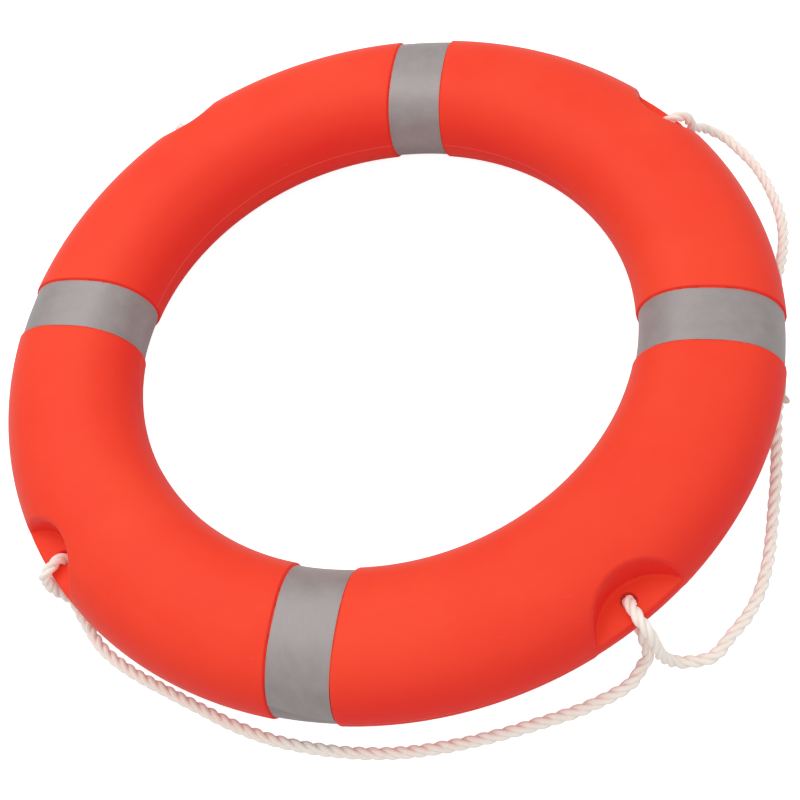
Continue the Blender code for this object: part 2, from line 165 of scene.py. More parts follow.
# ---------------------------------------------------------------- shell shape
def round_max(a, b, radius):
    """The larger of two distances, with a rounded meeting."""
    return (np.minimum(-radius, np.maximum(a, b))
            + np.hypot(np.maximum(a + radius, 0.0), np.maximum(b + radius, 0.0)))


def section_distance(out, up):
    """Signed distance to the ring's section, measured from its centre."""
    out, up = np.abs(out), np.abs(up)
    total = np.zeros_like(out)
    for _ in range(2):
        share_w, share_h = out / HALF_W, up / HALF_H
        level = share_w ** POWER_W + share_h ** POWER_H - 1.0
        slope_w = POWER_W / HALF_W * share_w ** (POWER_W - 1.0)
        slope_h = POWER_H / HALF_H * share_h ** (POWER_H - 1.0)
        # the added 2 keeps the steps finite near the centre
        size = np.sqrt(slope_w * slope_w + slope_h * slope_h) + 2.0
        step = level / size
        total = total + step
        out = np.maximum(out - step * slope_w / size, 0.0)
        up = np.maximum(up - step * slope_h / size, 0.0)
    return total


def recess_share(offset):
    """1 on the floor of a tape recess, 0 outside it: a wall steep beside the
    tape and rounded over at its top."""
    return np.clip((FLAT + RAMP - np.abs(offset)) / RAMP, 0.0, 1.0) ** 3


def shell_field(x, y, z):
    """Signed distance to the shell, negative inside it."""
    height = z - MID_Z
    ring = (section_distance(np.hypot(x, y) - CENTRE_R, height)
            + RECESS * (recess_share(x) + recess_share(y)))
    x, y = np.abs(x), np.abs(y)
    pocket = round_max(np.hypot(x - POCKET_XY, y - POCKET_XY) - POCKET_R,
                       WEB - np.abs(height), WEB_ROUND)
    hole = HOLE_R - np.hypot(x - HOLE_XY, y - HOLE_XY)
    return round_max(round_max(ring, -pocket, POCKET_ROUND), hole, HOLE_ROUND)


def gradient(points):
    reach = 2e-5
    out = np.empty_like(points)
    for k in range(3):
        after, before = points.copy(), points.copy()
        after[:, k] += reach
        before[:, k] -= reach
        out[:, k] = (shell_field(*after.T) - shell_field(*before.T)) / (2 * reach)
    return out


def settle(points, times):
    """Move points along the field's gradient onto the surface, in short steps."""
    longest = 0.0015
    for _ in range(times):
        field = shell_field(*points.T)
        slope = gradient(points)
        step = field[:, None] * slope / np.maximum((slope * slope).sum(1), 0.2)[:, None]
        size = np.linalg.norm(step, axis=1)[:, None]
        points = points - step * np.minimum(1.0, longest / np.maximum(size, 1e-12))
    return points


def grid_planes():
    """Places of the grid planes across the ring, the same in x and y."""
    out = [0.0]
    while out[-1] < GRID_REACH:
        here = out[-1]
        out.append(here + next((step for low, high, step in CLOSE_STEPS
                                if low < here < high), WIDE_STEP))
    return np.array([-p for p in reversed(out[1:])] + out)


def surface_net():
    """Points and quads of the surface where the field changes sign: one point in
    each grid cell it crosses, one quad round each grid edge it cuts."""
    across = grid_planes()
    heights = GRID_BOTTOM + CELL * np.arange(int(GRID_HEIGHT / CELL) + 2)
    axes = (across, across, heights)
    count = np.array([len(axis) for axis in axes])
    field = np.empty(count, np.float32)
    y, z = np.meshgrid(across, heights, indexing="ij")
    for i, x in enumerate(across):
        field[i] = shell_field(np.full_like(y, x), y, z)
    inside = field < 0

    size = count - 1
    corners = [(a, b, c) for a in (0, 1) for b in (0, 1) for c in (0, 1)]
    total = np.zeros(tuple(size), np.int8)
    for a, b, c in corners:
        total += inside[a:a + size[0], b:b + size[1], c:c + size[2]]
    active = (total > 0) & (total < 8)
    cells = np.argwhere(active)
    index = np.full(active.shape, -1, np.int64)
    index[active] = np.arange(len(cells))

    # each cell's point is the mean of the crossings on its twelve edges
    place, hits = np.zeros((len(cells), 3)), np.zeros(len(cells))
    for corner in corners:
        for k in range(3):
            if corner[k]:
                continue
            other = list(corner)
            other[k] = 1
            value = field[tuple((cells + corner).T)].astype(float)
            far_value = field[tuple((cells + other).T)].astype(float)
            cross = (value < 0) != (far_value < 0)
            share = np.where(cross, value / np.where(cross, value - far_value, 1.0), 0.0)
            spot = (np.array(corner, float)
                    + share[:, None] * (np.array(other) - np.array(corner)))
            place += spot * cross[:, None]
            hits += cross
    spot = cells + place / hits[:, None]
    verts = np.stack([np.interp(spot[:, k], np.arange(count[k]), axes[k])
                      for k in range(3)], axis=1)

    quads = []
    for k in range(3):
        u, v = (k + 1) % 3, (k + 2) % 3
        near, far = [slice(1, -1)] * 3, [slice(1, -1)] * 3
        near[k], far[k] = slice(0, -1), slice(1, None)
        near_inside, far_inside = inside[tuple(near)], inside[tuple(far)]
        base = np.argwhere(near_inside != far_inside)
        leaving = near_inside[tuple(base.T)]
        base[:, u] += 1
        base[:, v] += 1
        ring = []
        for du, dv in ((-1, -1), (0, -1), (0, 0), (-1, 0)):
            cell = base.copy()
            cell[:, u] += du
            cell[:, v] += dv
            ring.append(index[tuple(cell.T)])
        ring = np.stack(ring, axis=1)
        ring[~leaving] = ring[~leaving][:, ::-1]
        quads.append(ring)
    return verts, np.concatenate(quads)


def relax(verts, quads, times):
    """Even out the mesh along the surface."""
    a = np.concatenate([quads[:, k] for k in range(4)])
    b = np.concatenate([quads[:, (k + 1) % 4] for k in range(4)])
    count = len(verts)
    degree = np.bincount(a, minlength=count) + np.bincount(b, minlength=count)
    for _ in range(times):
        mean = np.stack([np.bincount(a, verts[b, k], count)
                         + np.bincount(b, verts[a, k], count)
                         for k in range(3)], axis=1) / degree[:, None]
        verts = settle(verts + 0.6 * (mean - verts), 1)
    return verts


def build_shell(mat):
    verts, quads = surface_net()
    verts = relax(settle(verts, 4), quads, 3)
    obj = add_object("moulded_shell", mesh_from("shell_fine", verts, quads), mat)
    thin = obj.modifiers.new("thin", "DECIMATE")
    thin.ratio = THINNED_TO
    thin.use_collapse_triangulate = True
    graph = bpy.context.evaluated_depsgraph_get()
    final = bpy.data.meshes.new_from_object(obj.evaluated_get(graph))
    obj.modifiers.clear()
    obj.data = final
    # thinning moves points off the surface, so they settle again
    points = np.empty(len(final.vertices) * 3, np.float32)
    final.vertices.foreach_get("co", points)
    points = settle(points.reshape(-1, 3).astype(float), 4)
    final.vertices.foreach_set("co", points.astype(np.float32).ravel())
    slope = gradient(points)
    set_normals(final, slope / np.linalg.norm(slope, axis=1)[:, None])
    set_material(final, mat)
    final.name = "moulded_shell"
    return obj


def wall_radius(side, count, place):
    """Radii at which the points place(radius) meet the outer (side 1) or the
    inner (side -1) wall."""
    radius = np.full(count, CENTRE_R + side * HALF_W)
    for _ in range(6):
        radius = radius - side * shell_field(*place(radius))
    return radius


def parting_line(name, side, mat):
    """A fine raised thread all round the wall at mid height."""
    count = 1440
    angle = 2 * np.pi * np.arange(count) / count

    def place(radius, high=0.0):
        return radius * np.cos(angle), radius * np.sin(angle), np.full(count, MID_Z + high)

    wall = wall_radius(side, count, place)
    proud = 0.00020 + 0.00005 * np.sin(7 * angle) * np.sin(3 * angle + 1)
    # (out from the wall, height from mid height)
    profile = ((-0.0005, -0.00065), (-0.00002, -0.00052), (proud, -0.00022),
               (proud, 0.00022), (-0.00002, 0.00052), (-0.0005, 0.00065))
    rows = [np.stack(place(wall + side * out, high), axis=1) for out, high in profile]
    sides = len(rows)
    verts = np.stack(rows, axis=1).reshape(-1, 3)
    faces = []
    for i in range(count):
        here, after = i * sides, (i + 1) % count * sides
        for j in range(sides):
            k = (j + 1) % sides
            quad = (here + j, here + k, after + k, after + j)
            faces.append((quad[0], *quad[:0:-1]) if side > 0 else quad)
    mesh = mesh_from(name, verts, faces)
    mesh.shade_smooth()
    return add_object(name, mesh, mat)


def inner_plug(name, angle, radius, mat):
    """A thin round plug set in the inner wall, following the wall's curve."""
    sides = 48
    # (share of the radius, distance proud of the wall)
    rings = ((0.001, 0.00020), (0.30, 0.00022), (0.60, 0.00024), (0.84, 0.00025),
             (0.93, 0.00024), (0.975, 0.00014), (1.0, -0.00010), (1.0, -0.0030),
             (0.55, -0.0030), (0.001, -0.0030))
    cos_a, sin_a = math.cos(angle), math.sin(angle)
    around = 2 * np.pi * np.arange(sides) / sides
    rows = []
    for share, proud in rings:
        aside = radius * share * np.cos(around)
        z = MID_Z + radius * share * np.sin(around)

        def place(out):
            return out * cos_a - aside * sin_a, out * sin_a + aside * cos_a, z

        rows.append(np.stack(place(wall_radius(-1, sides, place) - proud), axis=1))
    mesh = closed_tube(name, rows)
    mesh.set_sharp_from_angle(angle=math.radians(50))
    return add_object(name, mesh, mat)


# ---------------------------------------------------------------- tapes
# offsets across a tape are in millimetres; its columns lie close at the edges
TAPE_HALF = 25.4
TAPE_EDGE = (TAPE_HALF, 25.25, 24.9, 24.3)
TAPE_COLUMNS = ([-off for off in TAPE_EDGE] + list(np.linspace(-22, 22, 15))
                + list(TAPE_EDGE[::-1]))
TAPE_STEPS = 190                       # faces along a tape
TAPE_ROW_V = 0.00185                   # v from one row to the next
TAPE_INSET = 0.00182                   # depth below the unrecessed section
TAPE_THICK = 0.00058
TAPE_EDGE_DROP = 0.00012               # how much lower the outermost edges lie
LAP_LIFT, LAP_RAMP = 0.00064, 14.0     # rise of the lap, degrees over which it falls
# stretch over which painted shade darkens the tape before and under its lap, where it faces
# down
LAP_SHADE_FROM, LAP_SHADE_OVER = 285.0, 60.0     # degrees along the tape


def section_point(angle, inset):
    """A point on the ring's section, sunk by inset along the normal."""
    cos_a, sin_a = math.cos(angle), math.sin(angle)
    x = HALF_W * math.copysign(abs(cos_a) ** (2 / POWER_W), cos_a)
    z = HALF_H * math.copysign(abs(sin_a) ** (2 / POWER_H), sin_a)
    normal_x = math.copysign(abs(x / HALF_W) ** (POWER_W - 1), x) * POWER_W / HALF_W
    normal_z = math.copysign(abs(z / HALF_H) ** (POWER_H - 1), z) * POWER_H / HALF_H
    size = math.hypot(normal_x, normal_z)
    return x - inset * normal_x / size, z - inset * normal_z / size


def tape_layer(base, start, slope, overlap, seed, depth, edge_drop):
    """One face of a tape as a grid of points, depth below its outer face."""
    grid = np.empty((TAPE_STEPS + 1, len(TAPE_COLUMNS), 3))
    finish = math.radians(start + 360.0 + overlap)
    for j, off in enumerate(TAPE_COLUMNS):
        first = math.radians(start + slope * off)
        drop = edge_drop if j in (0, len(TAPE_COLUMNS) - 1) else 0.0
        for i in range(TAPE_STEPS + 1):
            angle = first + (finish - first) * i / TAPE_STEPS
            run = math.degrees(angle - math.radians(start))
            fall = min(max((run - overlap) / LAP_RAMP, 0.0), 1.0)
            lift = LAP_LIFT * (1 - fall ** 2 * (3 - 2 * fall))
            # slight unevenness: broad swells and finer ripples along the tape
            wave = (0.00005 * math.sin(3 * angle + seed) * math.sin(off * 0.11 + 2 * seed)
                    + 0.00004 * math.sin(11 * angle + seed * 3 + off * 0.05))
            x, z = section_point(angle, TAPE_INSET - lift + depth + drop + wave)
            radius = CENTRE_R + x
            turn = base + math.asin(off / 1000 / radius)
            grid[i, j] = (radius * math.cos(turn), radius * math.sin(turn), MID_Z + z)
    return grid


def tape(name, base, start, slope, overlap, mat, seed):
    """A tape wrapped once round the ring's section, its start lying over its far
    end by overlap. Angles round the section run in degrees from the outer wall up;
    slope is how much the cut at the start leans, in degrees per millimetre."""
    layers = [tape_layer(base, start, slope, overlap, seed, depth, edge_drop)
              for depth, edge_drop in ((0.0, TAPE_EDGE_DROP), (TAPE_THICK, 0.0))]
    rows, cols = TAPE_STEPS + 1, len(TAPE_COLUMNS)

    def outer(i, j):
        return i * cols + j

    def inner(i, j):
        return (rows + i) * cols + j

    faces = []
    right, end = cols - 1, rows - 1
    for i in range(end):
        for j in range(right):
            faces.append((outer(i, j), outer(i, j + 1), outer(i + 1, j + 1), outer(i + 1, j)))
            faces.append((inner(i, j), inner(i + 1, j), inner(i + 1, j + 1), inner(i, j + 1)))
        faces.append((outer(i, 0), outer(i + 1, 0), inner(i + 1, 0), inner(i, 0)))
        faces.append((outer(i, right), inner(i, right), inner(i + 1, right),
                      outer(i + 1, right)))
    for j in range(right):
        faces.append((outer(0, j), inner(0, j), inner(0, j + 1), outer(0, j + 1)))
        faces.append((outer(end, j), outer(end, j + 1), inner(end, j + 1), inner(end, j)))
    mesh = mesh_from(name, np.concatenate([layer.reshape(-1, 3) for layer in layers]), faces)

    across = np.tile(np.abs(np.array(TAPE_COLUMNS)) / TAPE_HALF, rows)
    add_values(mesh, "across", np.concatenate([across, across * 0 + 1.0]))
    along = np.repeat(np.arange(rows) / (rows - 1), cols) * (360.0 + overlap)
    # painted shade, growing along the tape towards its lapped end
    lap_shade = np.clip((along - LAP_SHADE_FROM) / LAP_SHADE_OVER, 0.0, 1.0)
    add_values(mesh, "lap_shade", np.concatenate([lap_shade, lap_shade]))
    uvs = np.stack([np.tile(np.array(TAPE_COLUMNS) / 1000, rows),
                    np.repeat(np.arange(rows) * TAPE_ROW_V, cols)], axis=1)
    add_uv(mesh, "tape", np.concatenate([uvs, uvs])[loop_vertices(mesh)])
    mesh.shade_smooth()
    mesh.set_sharp_from_angle(angle=math.radians(40))
    return add_object(name, mesh, mat)


# ---------------------------------------------------------------- line's course
REST_Z = 0.0062                        # height of the line's centre on the ground
LOW = REST_Z - MID_Z                   # the same from mid height
STEP = 0.0014                          # spacing of the stations along the line
JOIN_Y = -0.0120                       # where the line's two ends meet, on the right

# The four free lengths of the line: the diagonal each starts from, in degrees, and
# the stretch of its quarter circle (0 to 1) that lies on the ground.
SPANS = {"right": (-45, 0.047, 0.968), "top": (45, 0.055, 0.945),
         "left": (135, 0.055, 0.945), "bottom": (225, 0.055, 0.945)}

# How far out the three tidy spans lie at their start, middle and end, and the gentle
# sways they lie in, as (amount, where along, how long) triples.
TIDY_OUT = {
    "top": (0.3790, 0.3648, 0.3700, ()),
    "left": (0.3640, 0.3557, 0.3600, ()),
    "bottom": (0.3662, 0.3646, 0.3762,
               ((-0.0072, 0.28, 0.12), (0.0022, 0.61, 0.07), (-0.0026, 0.80, 0.07),
                (-0.0060, 0.05, 0.048))),
}

# How far out the slack right span lies, as (share of the quarter, radius).
RIGHT_OUT = ((0.047, 0.3995), (0.074, 0.3980), (0.102, 0.3991), (0.125, 0.3973),
             (0.148, 0.3950), (0.175, 0.3903), (0.200, 0.3853), (0.225, 0.3798),
             (0.250, 0.3743), (0.275, 0.3698), (0.300, 0.3660), (0.335, 0.3608),
             (0.370, 0.3561), (0.395, 0.3532), (0.420, 0.3516), (0.450, 0.3510),
             (0.500, 0.3508), (0.550, 0.3510), (0.600, 0.3518), (0.640, 0.3545),
             (0.660, 0.3578), (0.685, 0.3645), (0.700, 0.3693), (0.726, 0.3768),
             (0.762, 0.3859), (0.800, 0.3925), (0.840, 0.3970), (0.882, 0.4015),
             (0.932, 0.4023), (0.968, 0.4020))

# The way each span comes down to the ground at its start and goes up from it at
# its end. Points near a pocket are (radius, aside, height from mid height), aside
# being measured counterclockwise from the diagonal.
DOWN = {
    "right": ((0.3789, -0.0040, -0.0205), (0.3819, 0.0000, -0.0310),
              (0.3848, 0.0057, -0.0395), (0.3895, 0.0120, LOW)),
    "top": ((0.3655, 0.0130, -0.0350),),
    "left": ((0.3656, 0.0088, -0.0210), (0.3640, 0.0115, -0.0325)),
    "bottom": ((0.3602, 0.0097, -0.0210), (0.3568, 0.0145, -0.0330)),
}
UP = {
    "right": ((0.3930, -0.0090, -0.0335), (0.3822, -0.0072, -0.0222),
              (0.3745, -0.0084, -0.0158)),
    "top": ((0.3690, -0.0135, -0.0335),),
    "left": ((0.3655, -0.0130, -0.0350),),
    "bottom": ((0.3702, -0.0168, -0.0412), (0.3691, -0.0115, -0.0372)),
}

# The turn round each web: the line's upper part, from the hole out over the
# web, and its lower part, from the hole out under it. The last point but one of
# each is the hinge of the span that leaves there, the last one only steers.
PLAIN_UPPER = ((0.3390, 0.0006, 0.0080), (0.3440, 0.0034, 0.0140),
               (0.3515, 0.0062, 0.0155), (0.3584, 0.0074, 0.0125),
               (0.3605, 0.0073, 0.0072), (0.3608, 0.0071, 0.0000),
               (0.3622, 0.0078, -0.0110))
PLAIN_LOWER = ((0.3390, -0.0004, -0.0084), (0.3440, -0.0022, -0.0142),
               (0.3520, -0.0048, -0.0143), (0.3604, -0.0068, -0.0138),
               (0.3658, -0.0082, -0.0208))
# front right: slack, and its upper part lies across its lower part
CROSSING_UPPER = ((0.3390, -0.0006, 0.0080), (0.3444, -0.0030, 0.0142),
                  (0.3540, -0.0053, 0.0160), (0.3630, -0.0063, 0.0142),
                  (0.3700, -0.0063, 0.0078), (0.3744, -0.0063, -0.0011),
                  (0.3766, -0.0058, -0.0108))
CROSSED_LOWER = ((0.3390, -0.0004, -0.0080), (0.3440, -0.0018, -0.0142),
                 (0.3528, -0.0030, -0.0160), (0.3589, -0.0048, -0.0182),
                 (0.3634, -0.0065, -0.0232), (0.3673, -0.0081, -0.0300))
# back right: slack
SLACK_UPPER = ((0.3390, -0.0006, 0.0080), (0.3440, -0.0034, 0.0146),
               (0.3505, -0.0064, 0.0162), (0.3572, -0.0083, 0.0134),
               (0.3630, -0.0094, 0.0068), (0.3662, -0.0096, -0.0008),
               (0.3688, -0.0088, -0.0090))
MIRRORED_LOWER = tuple((radius, -aside, height) for radius, aside, height in PLAIN_LOWER)

# For each pocket: the part that runs to the span starting there, then the part
# that runs to the span ending there, and whether the first one is the upper.
TURNS = {
    -45: (CROSSING_UPPER, CROSSED_LOWER, True),
    45: (MIRRORED_LOWER, SLACK_UPPER, False),
    135: (PLAIN_UPPER, PLAIN_LOWER, True),
    225: (PLAIN_UPPER, PLAIN_LOWER, True),
}

# The pockets in the line's order: name, diagonal, arriving span, leaving span.
CORNERS = (("back_right", 45, "right", "top"), ("back_left", 135, "top", "left"),
           ("front_left", 225, "left", "bottom"), ("front_right", -45, "bottom", "right"))


def run_length(path):
    return np.concatenate([[0], np.cumsum(np.linalg.norm(np.diff(path, axis=0), axis=1))])


def smooth_path(points, spacing):
    """Even points along a centripetal curve; the first and the last control
    only steer it."""
    points = [np.asarray(p, float) for p in points]
    pieces = 40                        # fine steps between two controls
    dense = []
    for i in range(1, len(points) - 2):
        four = points[i - 1:i + 3]
        knots = [0.0]
        for a, b in zip(four, four[1:]):
            knots.append(knots[-1] + math.sqrt(np.linalg.norm(b - a)))

        def between(first, last, a, b):
            low, high = knots[first], knots[last]
            return (high - at) / (high - low) * a + (at - low) / (high - low) * b

        for k in range(pieces):
            at = knots[1] + (knots[2] - knots[1]) * k / pieces
            three = [between(n, n + 1, four[n], four[n + 1]) for n in range(3)]
            two = [between(n, n + 2, three[n], three[n + 1]) for n in range(2)]
            dense.append(between(1, 2, *two))
    dense.append(points[-2])
    dense = np.array(dense)
    run = run_length(dense)
    count = max(2, int(round(run[-1] / spacing)))
    stations = np.linspace(0, run[-1], count + 1)
    return np.stack([np.interp(stations, run, dense[:, k]) for k in range(3)], axis=1)


def pocket_point(diagonal, point):
    radius, aside, height = point
    angle = math.radians(diagonal)
    cos_a, sin_a = math.cos(angle), math.sin(angle)
    return np.array([radius * cos_a - aside * sin_a, radius * sin_a + aside * cos_a,
                     MID_Z + height])


def turn_path(diagonal):
    """The turn round the web, from the span that ends at this pocket, through the
    hole, to the span that starts here. It begins and ends with the spans' own
    first points, so that the line runs on without a kink."""
    leaving, arriving, _ = TURNS[diagonal]
    points = tuple(reversed(arriving)) + ((HOLE_C, 0.0, 0.0),) + leaving
    return [pocket_point(diagonal, p) for p in points]


def ground_radius(name, share):
    """How far from the ring's axis a span lies, share running from 0 to 1."""
    if name == "right":
        return float(np.interp(share, *zip(*RIGHT_OUT)))
    out_start, out_mid, out_end, sways = TIDY_OUT[name]
    # the radius eases from each end to the middle one over 0.36 of the quarter
    first = math.cos(math.pi * min(max((share - 0.07) / 0.36, 0.0), 1.0))
    second = math.cos(math.pi * min(max((0.95 - share) / 0.36, 0.0), 1.0))
    radius = (out_mid + (out_start - out_mid) * (1 + first) / 2
              + (out_end - out_mid) * (1 + second) / 2)
    return radius + sum(amount * math.exp(-((share - where) / long) ** 2)
                        for amount, where, long in sways)


def span_path(name):
    """One free length, from the turn it starts at to the next one. The first and
    the last point only steer the curve into the fixed turns."""
    start, share_from, share_to = SPANS[name]
    end = -45 if start == 225 else start + 90
    points = [pocket_point(start, p) for p in TURNS[start][0][-3:] + DOWN[name]]
    count = 26 if name == "right" else 15
    for i in range(count):
        share = share_from + (share_to - share_from) * i / (count - 1)
        radius = ground_radius(name, share)
        angle = math.radians(start) + share * math.pi / 2
        height = LOW
        if name == "right":            # lies a little lower about its middle
            height -= 0.0003 * math.exp(-((share - 0.485) / 0.12) ** 2)
        points.append(np.array([radius * math.cos(angle), radius * math.sin(angle),
                                MID_Z + height]))
    return points + [pocket_point(end, p)
                     for p in UP[name] + tuple(reversed(TURNS[end][1][-3:]))]


def whole_line():
    """The whole line as one run of points, and where each turn begins and ends."""
    right = smooth_path(span_path("right"), STEP)
    split = int(np.argmin(np.abs(right[:, 1] - JOIN_Y)))
    paths = [right[split:]]
    for _, diagonal, _, leaving in CORNERS:
        paths.append(smooth_path(turn_path(diagonal), STEP))
        paths.append(right[:split + 1] if leaving == "right"
                     else smooth_path(span_path(leaving), STEP))
    paths = paths[:1] + [path[1:] for path in paths[1:]]
    edges = np.cumsum([len(path) for path in paths[:-1]]) - 1
    return np.concatenate(paths), edges.tolist()


# ---------------------------------------------------------------- rope surface
LAY = 0.0328                           # length of one full turn of a strand
STRAND_OFF, STRAND_R = 0.00236, 0.00276
STRAND_STEPS = 14


def rope_profile():
    """Points round one cross section, three strands side by side, the angle of
    each round its own strand, and the angle at which two strands meet."""
    meet = STRAND_OFF * 0.5 + math.sqrt(STRAND_R ** 2 - 0.75 * STRAND_OFF ** 2)
    limit = math.atan2(meet * math.sin(math.pi / 3), meet * 0.5 - STRAND_OFF)
    points, angles = [], []
    for k in range(3):
        cos_k, sin_k = math.cos(2 * math.pi * k / 3), math.sin(2 * math.pi * k / 3)
        for i in range(STRAND_STEPS):
            angle = -limit + 2 * limit * i / STRAND_STEPS
            x, y = STRAND_OFF + STRAND_R * math.cos(angle), STRAND_R * math.sin(angle)
            points.append((cos_k * x - sin_k * y, sin_k * x + cos_k * y))
            angles.append(angle)
    return np.array(points), np.array(angles), limit


PROFILE, STRAND_ANGLES, STRAND_LIMIT = rope_profile()


def line_frames(path):
    """Two directions across the path, carried along without twist, and its own."""
    tangent = np.gradient(path, axis=0)
    tangent /= np.linalg.norm(tangent, axis=1)[:, None]
    side = np.cross(tangent[0], (0, 0, 1.0))
    side /= np.linalg.norm(side)
    sides = []
    for ahead in tangent:
        side = side - ahead * np.dot(side, ahead)
        side = side / np.linalg.norm(side)
        sides.append(side)
    sides = np.array(sides)
    return sides, np.cross(tangent, sides), tangent


def laid_rope(path):
    """The surface of a laid rope along a path: points, normals and run length."""
    sides, others, _ = line_frames(path)
    run = run_length(path)
    twist = 2 * np.pi * run / LAY
    swell = 1 + 0.010 * np.sin(run * 190.0) + 0.008 * np.sin(run * 71.0 + 1.0)
    cos_t, sin_t = np.cos(twist)[:, None], np.sin(twist)[:, None]
    x = (cos_t * PROFILE[:, 0] - sin_t * PROFILE[:, 1]) * swell[:, None]
    y = (sin_t * PROFILE[:, 0] + cos_t * PROFILE[:, 1]) * swell[:, None]
    grid = (path[:, None, :] + x[:, :, None] * sides[:, None, :]
            + y[:, :, None] * others[:, None, :])
    around = np.roll(grid, -1, axis=1) - np.roll(grid, 1, axis=1)
    normals = np.cross(around, np.gradient(grid, axis=0))
    normals /= np.linalg.norm(normals, axis=2)[:, :, None]
    return SimpleNamespace(grid=grid, normals=normals, run=run)


def rope_uvs(mesh, rows, cols, run):
    """For each face corner, the angle round its strand and the run along the line."""
    loops = loop_vertices(mesh)
    col, row = loops % cols, loops // cols
    step = col % STRAND_STEPS
    sides = np.zeros(len(mesh.polygons), np.int32)
    mesh.polygons.foreach_get("loop_total", sides)
    face_of = np.repeat(np.arange(len(sides)), sides)
    highest = np.full(len(sides), 0)
    np.maximum.at(highest, face_of, np.where(row < rows, step, 0))
    # the last face of each strand ends at its own limit, not at the next one's start
    closing = (step == 0) & (highest[face_of] == STRAND_STEPS - 1)
    angle = np.where(closing, STRAND_LIMIT, STRAND_ANGLES[col])
    return np.stack([angle, run[np.minimum(row, rows - 1)]], axis=1)


def rope_piece(name, rope, first, last, mat):
    """A closed length of rope between two stations of the whole line."""
    part = rope.grid[first:last + 1]
    rows, cols = part.shape[:2]
    start, end = part[0].mean(0), part[-1].mean(0)
    verts = np.concatenate([part.reshape(-1, 3), [start, end]])
    i, j = np.meshgrid(np.arange(rows - 1), np.arange(cols), indexing="ij")
    k = (j + 1) % cols
    quads = np.stack([i * cols + j, i * cols + k, (i + 1) * cols + k,
                      (i + 1) * cols + j], axis=-1).reshape(-1, 4)
    faces = [tuple(q) for q in quads.tolist()]
    last_row = (rows - 1) * cols
    for j in range(cols):
        k = (j + 1) % cols
        faces.append((k, j, rows * cols))
        faces.append((last_row + j, last_row + k, rows * cols + 1))
    mesh = mixed_mesh(name, verts, faces)
    add_uv(mesh, "rope", rope_uvs(mesh, rows, cols, rope.run[first:last + 1]))
    # how near each point lies to the groove where two strands meet; the material paints shade
    # there
    groove_shade = np.tile(np.abs(STRAND_ANGLES) / STRAND_LIMIT, rows)
    add_values(mesh, "groove_shade", np.concatenate([groove_shade, [1.0, 1.0]]))
    back = start - part[1].mean(0)
    ahead = end - part[-2].mean(0)
    set_normals(mesh, np.concatenate([
        rope.normals[first:last + 1].reshape(-1, 3),
        [back / np.linalg.norm(back), ahead / np.linalg.norm(ahead)]]))
    return add_object(name, mesh, mat)


def bend_piece(obj, grid, fixed_row, moving_row):
    """Bake the transform of a short length of rope, between the ring and a moving span, into
    its mesh.
    """
    fixed, moving = grid[fixed_row], grid[moving_row]
    origin = fixed.mean(0)
    way = moving.mean(0) - origin
    way /= np.linalg.norm(way)
    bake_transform(obj)


def bend_stations(upper):
    """Stations on the turn's side and on the span's side of an exit."""
    turn_side, span_side = (0.004, 0.020) if upper else (0.012, 0.014)
    return int(round(turn_side / STEP)), int(round(span_side / STEP))


def build_rope(mat):
    path, edges = whole_line()
    rope = laid_rope(path)
    begins, ends = {}, {}
    for k, (corner, diagonal, arriving, leaving) in enumerate(CORNERS):
        leaves_upper = TURNS[diagonal][2]
        turn_side, span_side = bend_stations(not leaves_upper)
        span_end, turn_start = edges[2 * k] - span_side, edges[2 * k] + turn_side
        turn_side, span_side = bend_stations(leaves_upper)
        turn_end, span_start = edges[2 * k + 1] - turn_side, edges[2 * k + 1] + span_side
        ends[arriving], begins[leaving] = span_end, span_start
        piece = rope_piece(f"rope_{corner}_in", rope, span_end, turn_start, mat)
        bend_piece(piece, rope.grid, turn_start, span_end)
        piece = rope_piece(f"rope_{corner}_turn", rope, turn_start, turn_end, mat)
        attach(piece, "ring", f"grab_line_turn_{corner}")
        piece = rope_piece(f"rope_{corner}_out", rope, turn_end, span_start, mat)
        bend_piece(piece, rope.grid, turn_end, span_start)
    lengths = [(name, name, begins[name], ends[name]) for name in ("top", "left", "bottom")]
    lengths += [("right_upper", "right", 0, ends["right"]),
                ("right_lower", "right", begins["right"], len(path) - 1)]
    for name, span, first, last in lengths:
        piece = rope_piece(f"rope_{name}", rope, first, last, mat)
        attach(piece, f"line_{span}", f"grab_line_span_{span}")


# ---------------------------------------------------------------- join
WHIP_FROM, WHIP_TO = -0.0290, 0.0040   # y of the whipping's ends
COIL_R, COIL_PITCH, TWINE_R = 0.00522, 0.00104, 0.00054
COIL_STEPS, TWINE_SIDES = 22, 8        # points in a turn, points round the twine


def coil(name, path, mat):
    """Twine wound tightly round the line, closed at both ends."""
    run = run_length(path)
    turns = (run[-1] - 2 * TWINE_R) / COIL_PITCH
    count = int(turns * COIL_STEPS)
    stations = np.linspace(TWINE_R, run[-1] - TWINE_R, count)
    centre, side, other, tangent = (
        np.stack([np.interp(stations, run, values[:, k]) for k in range(3)], 1)
        for values in (path, *line_frames(path)))
    angle = 2 * np.pi * turns * np.linspace(0, 1, count)
    radial = side * np.cos(angle)[:, None] + other * np.sin(angle)[:, None]
    centre = centre + radial * COIL_R
    rows = []
    for k in range(TWINE_SIDES):
        around = 2 * np.pi * k / TWINE_SIDES
        rows.append(centre + TWINE_R * (math.cos(around) * radial
                                        + math.sin(around) * tangent))
    faces = []
    for i in range(count - 1):
        here, after = i * TWINE_SIDES, (i + 1) * TWINE_SIDES
        for j in range(TWINE_SIDES):
            k = (j + 1) % TWINE_SIDES
            faces.append((here + j, after + j, after + k, here + k))
    faces.append(tuple(range(TWINE_SIDES)))
    faces.append(tuple(range((count - 1) * TWINE_SIDES, count * TWINE_SIDES))[::-1])
    mesh = mixed_mesh(name, np.stack(rows, axis=1).reshape(-1, 3), faces)
    mesh.shade_smooth()
    return add_object(name, mesh, mat)


